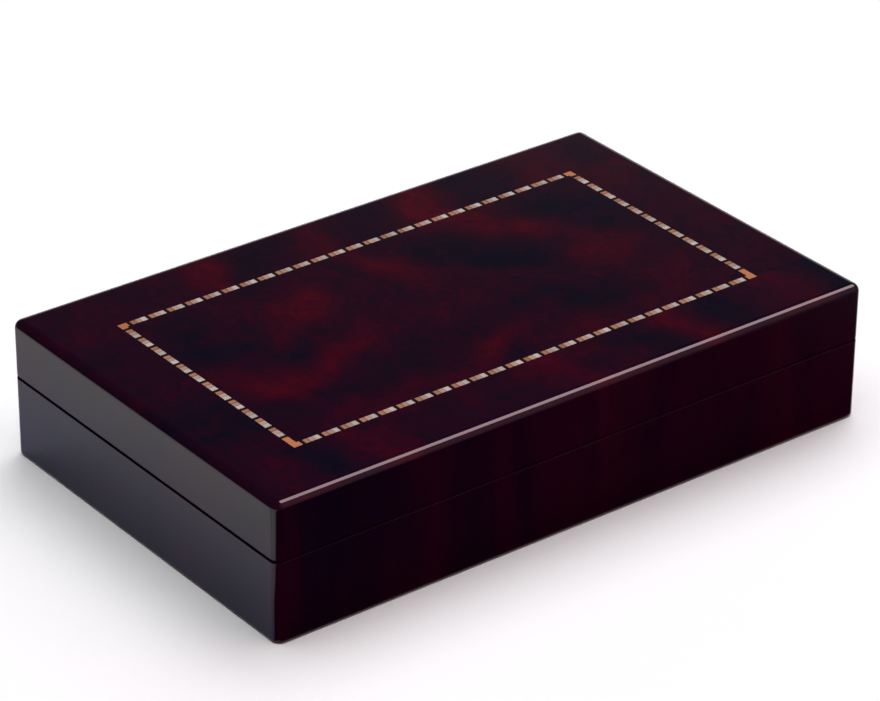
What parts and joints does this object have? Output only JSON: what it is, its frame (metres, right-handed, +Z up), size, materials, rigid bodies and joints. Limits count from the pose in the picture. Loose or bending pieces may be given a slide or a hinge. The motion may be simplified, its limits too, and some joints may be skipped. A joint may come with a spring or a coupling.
{
  "type": "games compendium box",
  "caption": "Flat lacquered wooden games box with an inlaid band in its hinged lid, a lined lip, and a lift-out tray that holds cards, dominoes and dice.",
  "frame": {"origin": "middle of the underside, on the surface that the box stands on", "axes": "+X along the box's length, +Y from the front to the hinges, +Z up"},
  "size_m": [0.3, 0.1893, 0.063],
  "materials": {
    "lacquered_wood": "dark red burl veneer under clear high-gloss lacquer",
    "plywood": "sanded, bare",
    "walnut": "satin varnish",
    "inlay_black": "dyed veneer under gloss lacquer",
    "inlay_orange": "dyed veneer under gloss lacquer",
    "inlay_brown": "dyed veneer under gloss lacquer",
    "inlay_tan": "light veneer under gloss lacquer",
    "inlay_pearl": "pearl shell look under gloss lacquer",
    "brass": "polished",
    "nickel": "bright nickel plate",
    "black_felt": "short felt",
    "red_velvet": "short velvet pile",
    "playing_cards": "coated card",
    "ivory_plastic": "polished"
  },
  "bodies": {
    "base": {"base_front_wall": "lacquered_wood", "base_back_wall": "lacquered_wood", "base_left_wall": "lacquered_wood", "base_right_wall": "lacquered_wood", "base_floor": "plywood", "underside_felt": "black_felt", "floor_lining": "red_velvet", "liner_front": "walnut", "liner_back": "walnut", "liner_left": "walnut", "liner_right": "walnut", "catch_magnets": "nickel", "hinge_left_lower_leaf": "brass", "hinge_right_lower_leaf": "brass", "hinge_left_pin": "brass", "hinge_right_pin": "brass", "base_hinge_screws": "brass"},
    "lid": {"lid_front_wall": "lacquered_wood", "lid_back_wall": "lacquered_wood", "lid_left_wall": "lacquered_wood", "lid_right_wall": "lacquered_wood", "lid_top_panel": "lacquered_wood", "inlay_black_strips": "inlay_black", "inlay_orange_tiles": "inlay_orange", "inlay_dark_lines": "inlay_brown", "inlay_tan_tiles": "inlay_tan", "inlay_pearl_tiles": "inlay_pearl", "inlay_corner_tiles": "inlay_orange", "lid_lining": "red_velvet", "catch_plates": "nickel", "hinge_left_upper_leaf": "brass", "hinge_right_upper_leaf": "brass", "lid_hinge_screws": "brass"},
    "tray": {"tray_floor": "plywood", "tray_front": "walnut", "tray_back": "walnut", "tray_left": "walnut", "tray_right": "walnut", "tray_channel_divider": "walnut", "tray_card_divider": "walnut", "tray_dice_divider": "walnut", "tray_well_divider": "walnut", "tray_lining": "red_velvet", "card_risers": "red_velvet", "card_pack_left": "playing_cards", "card_pack_right": "playing_cards", "dominoes": "ivory_plastic", "dice": "ivory_plastic"}
  },
  "joints": [
    {"name": "lid_hinge", "type": "hinge", "parent": "base", "child": "lid", "pos_m": [0, 0.0934, 0.0369], "axis": [-1, 0, 0], "range_deg": [0, 95]},
    {"name": "tray_lift", "type": "slide", "parent": "base", "child": "tray", "axis": [0, 0, 1], "range_m": [0, 0.015]}
  ]
}
